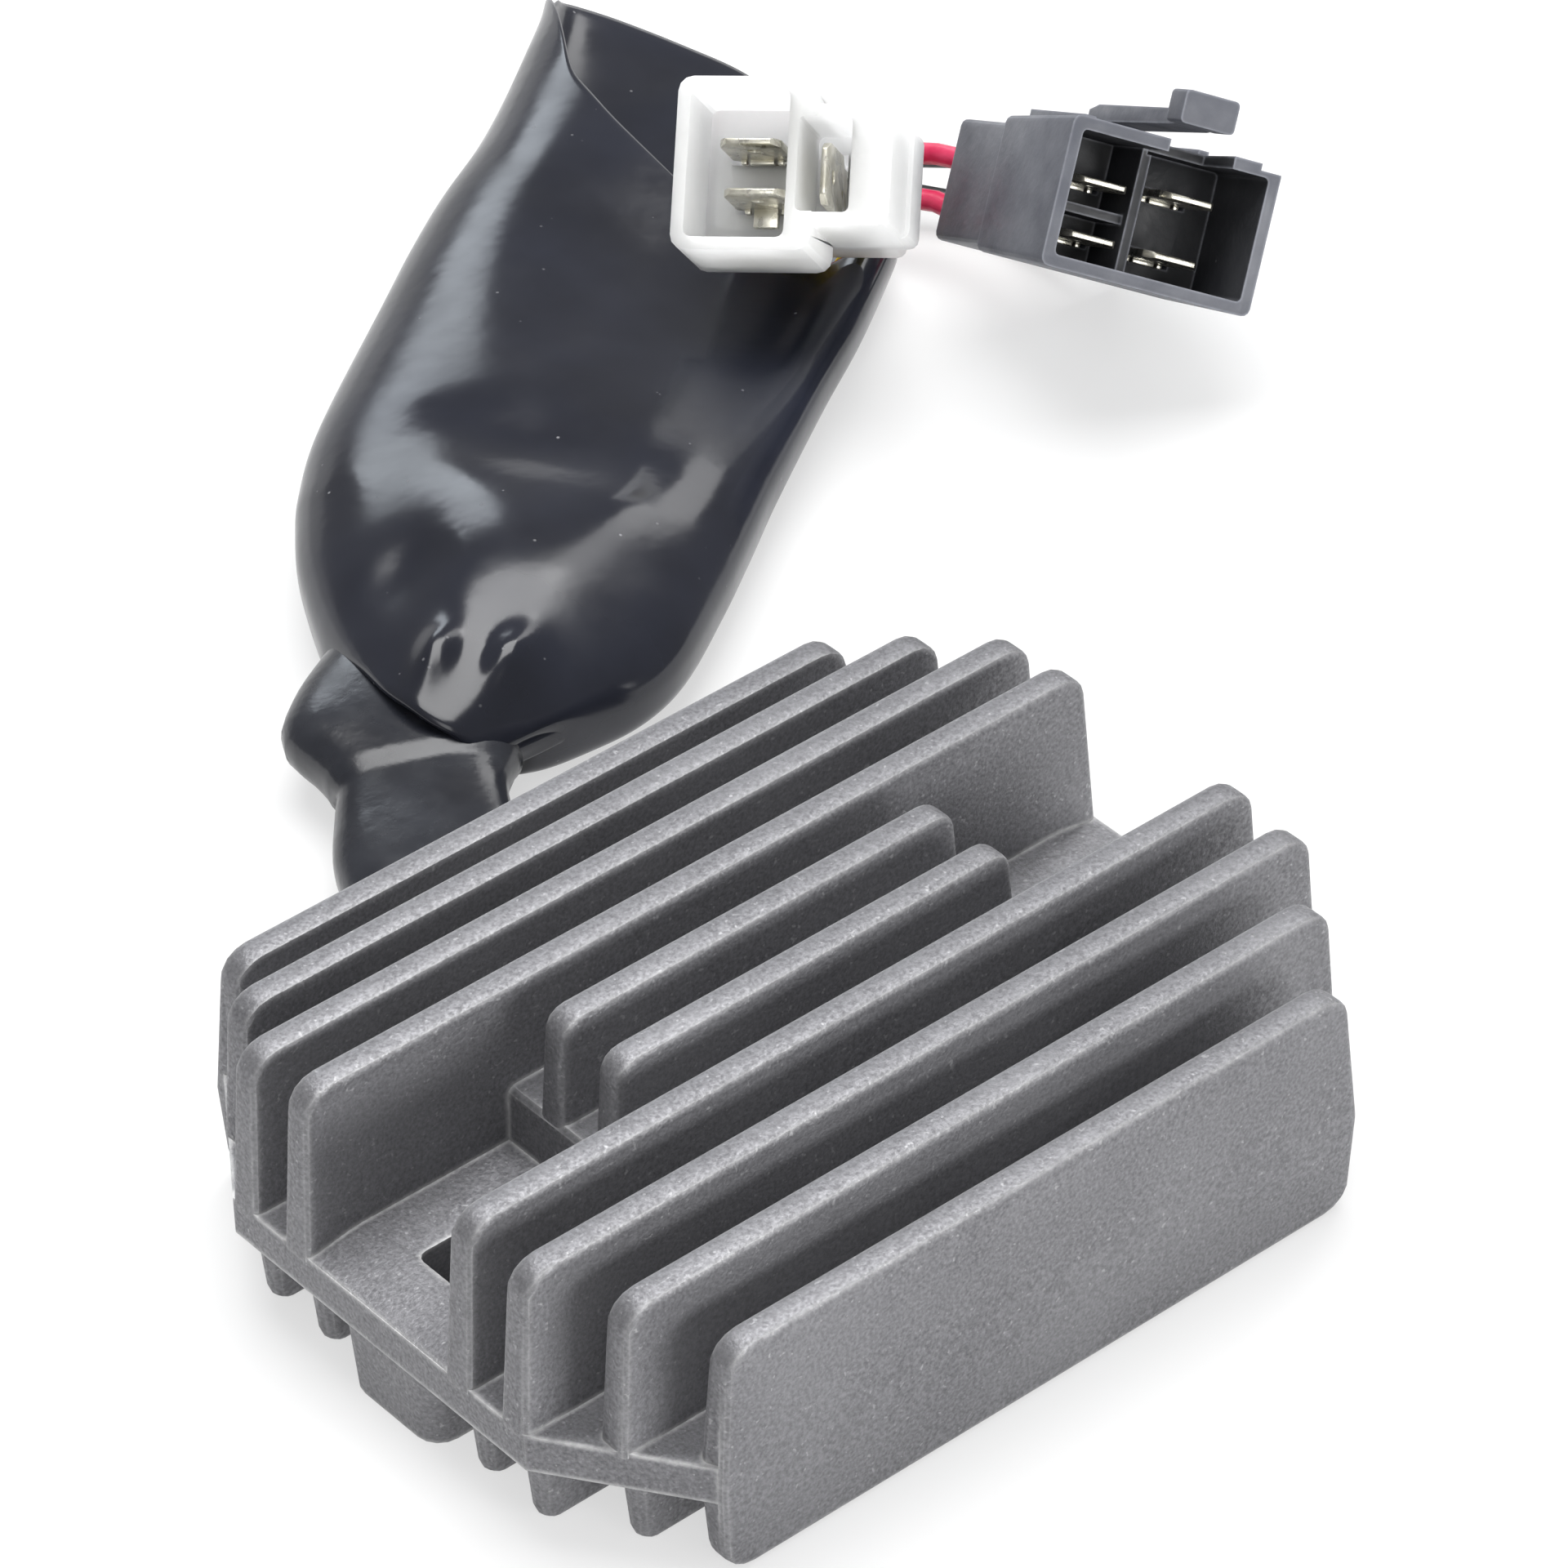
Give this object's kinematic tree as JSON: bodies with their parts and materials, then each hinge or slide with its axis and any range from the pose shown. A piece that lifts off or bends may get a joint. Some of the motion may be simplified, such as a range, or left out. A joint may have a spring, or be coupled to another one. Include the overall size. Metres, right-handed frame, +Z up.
{
  "type": "voltage regulator rectifier",
  "caption": "Regulator rectifier with arched cast fins and slotted ears, a sleeved lead, and a black boot from which a white and a black blade connector hang out",
  "frame": {"origin": "centre of the heat sink's footprint, on the plane of its mounting feet", "axes": "+X along the fins, +Y towards the side that the lead leaves, +Z up through the fins"},
  "size_m": [0.1707, 0.1988, 0.0365],
  "materials": {
    "cast_aluminium": "die-cast, fine as-cast grain, satin",
    "resin": "poured black resin, semi-gloss",
    "board": "glass-fibre board with solder mask",
    "semiconductor": "moulded, matt",
    "capacitor": "shrink sleeved can",
    "grommet": "moulded, matt",
    "sleeve": "soft plastic tube, semi-gloss",
    "boot": "soft dipped plastic, glossy",
    "white_nylon": "natural nylon, slightly translucent",
    "black_nylon": "moulded nylon, satin",
    "tinned_brass": "tin plated",
    "yellow_insulation": "soft plastic insulation",
    "red_insulation": "soft plastic insulation",
    "black_insulation": "soft plastic insulation"
  },
  "bodies": {
    "root": {"heat_sink": "cast_aluminium", "potting_resin": "resin", "circuit_board": "board", "thyristor_1": "semiconductor", "thyristor_2": "semiconductor", "thyristor_3": "semiconductor", "diode_1": "semiconductor", "diode_2": "semiconductor", "diode_3": "semiconductor", "control_module": "semiconductor", "filter_capacitor": "capacitor", "wire_grommet": "grommet", "harness_sleeve": "sleeve", "connector_boot": "boot", "white_connector_housing": "white_nylon", "black_connector_housing": "black_nylon", "white_terminal_1": "tinned_brass", "white_terminal_2": "tinned_brass", "white_terminal_3": "tinned_brass", "black_terminal_1": "tinned_brass", "black_terminal_2": "tinned_brass", "black_terminal_3": "tinned_brass", "black_terminal_4": "tinned_brass", "yellow_wire_1": "yellow_insulation", "yellow_wire_2": "yellow_insulation", "yellow_wire_3": "yellow_insulation", "red_wire_1": "red_insulation", "black_wire_1": "black_insulation", "red_wire_2": "red_insulation", "black_wire_2": "black_insulation"}
  },
  "joints": []
}
